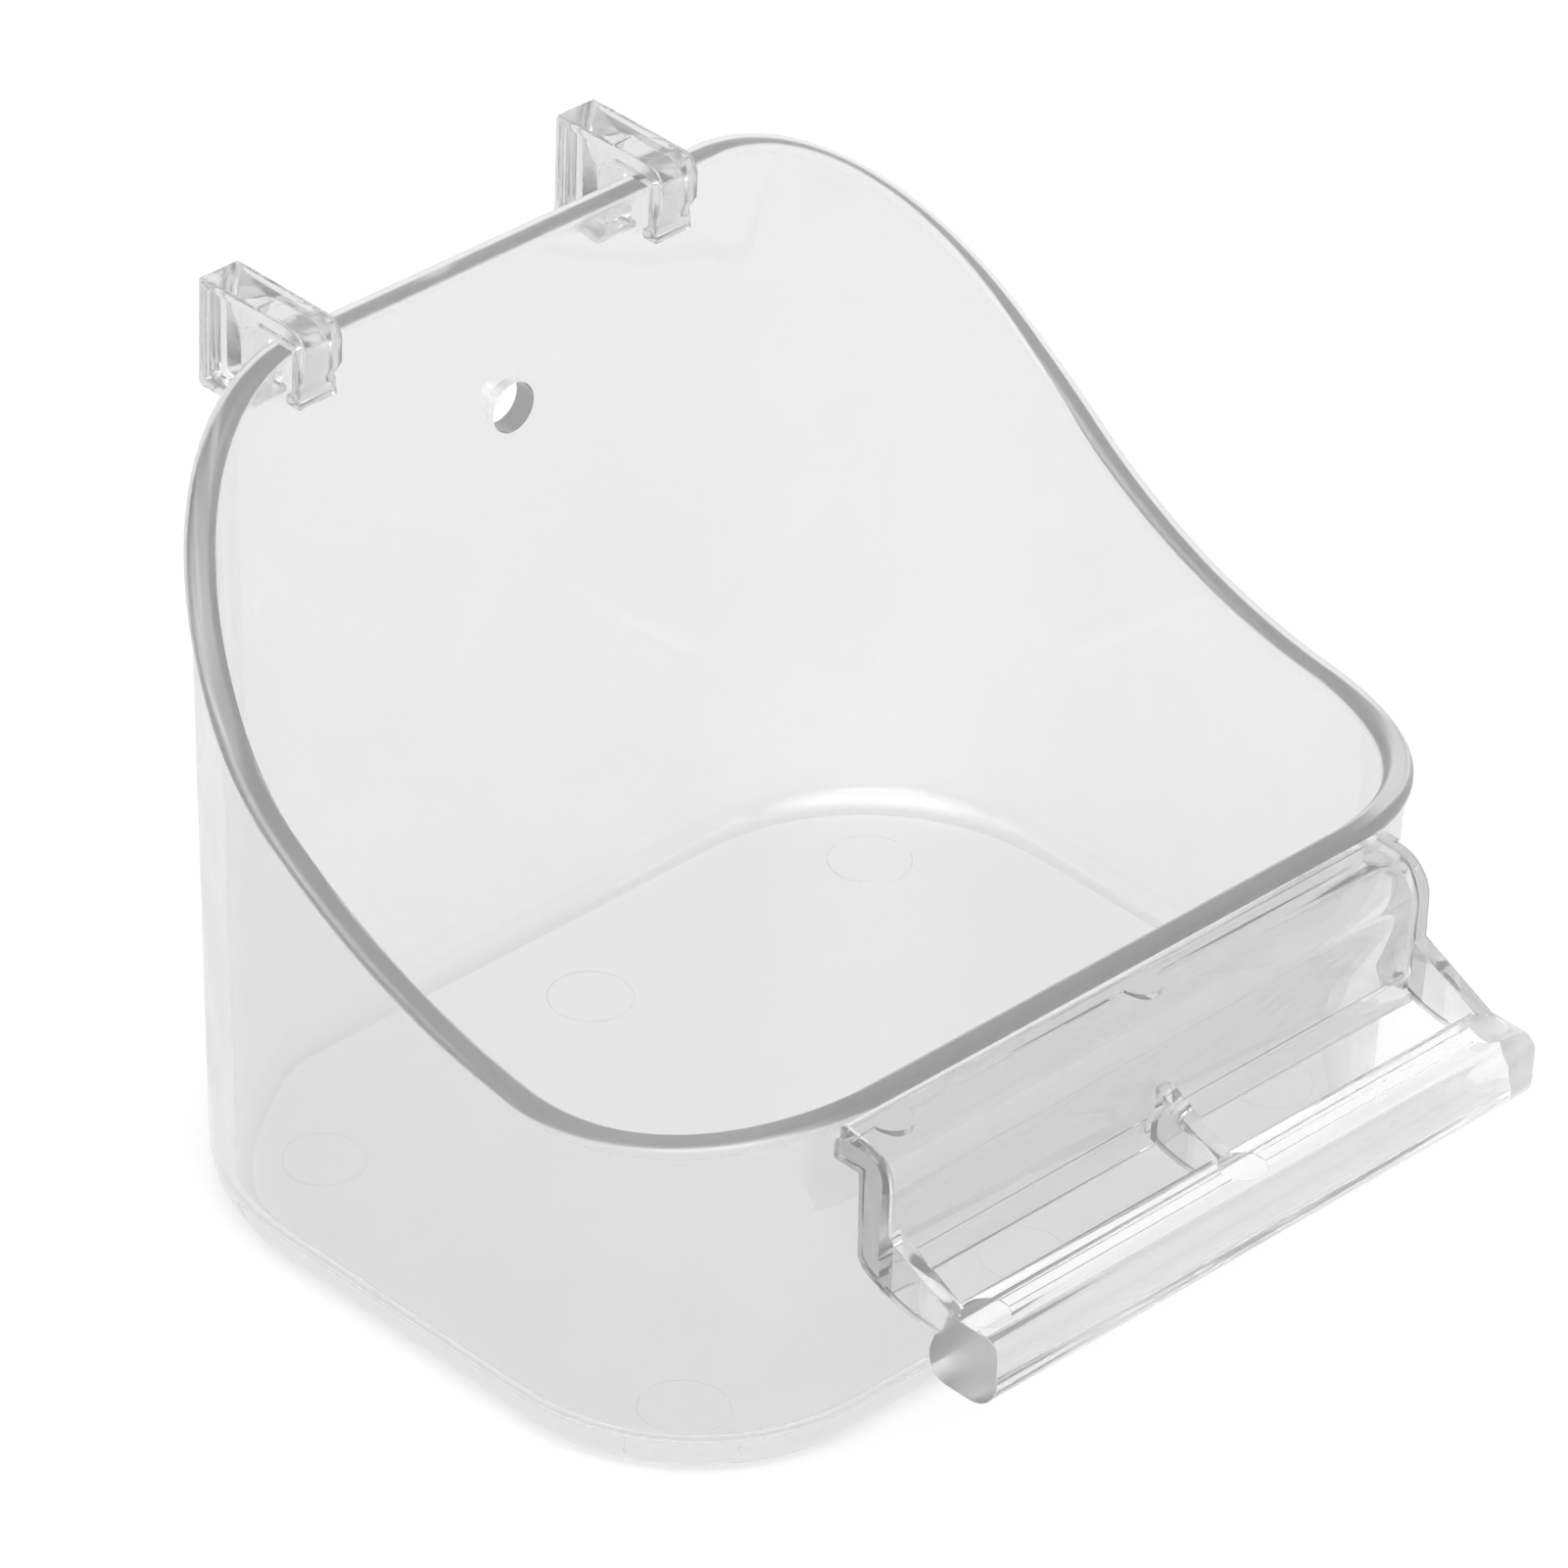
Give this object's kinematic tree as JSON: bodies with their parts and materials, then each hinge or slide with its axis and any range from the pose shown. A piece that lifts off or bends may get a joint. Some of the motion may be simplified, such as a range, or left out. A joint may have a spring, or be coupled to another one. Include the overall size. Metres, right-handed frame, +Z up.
{
  "type": "cage bird bath",
  "caption": "Clear plastic hanging bird bath for a cage: a deep tub with a tall back wall, clips on its back rim and a landing perch that clips on in front.",
  "frame": {"origin": "middle of the tub's plan, on the surface that the tub stands on", "axes": "+X runs along the back wall to the right as seen from the front, +Y points to the back wall, +Z is up"},
  "size_m": [0.128, 0.1355, 0.0975],
  "materials": {
    "tub_plastic": "clear, colourless, polished moulding",
    "clip_plastic": "clear, colourless, polished moulding",
    "perch_plastic": "clear, colourless, polished moulding"
  },
  "bodies": {
    "root": {"tub": "tub_plastic", "hook_left": "clip_plastic", "hook_right": "clip_plastic", "perch": "perch_plastic"}
  },
  "joints": []
}
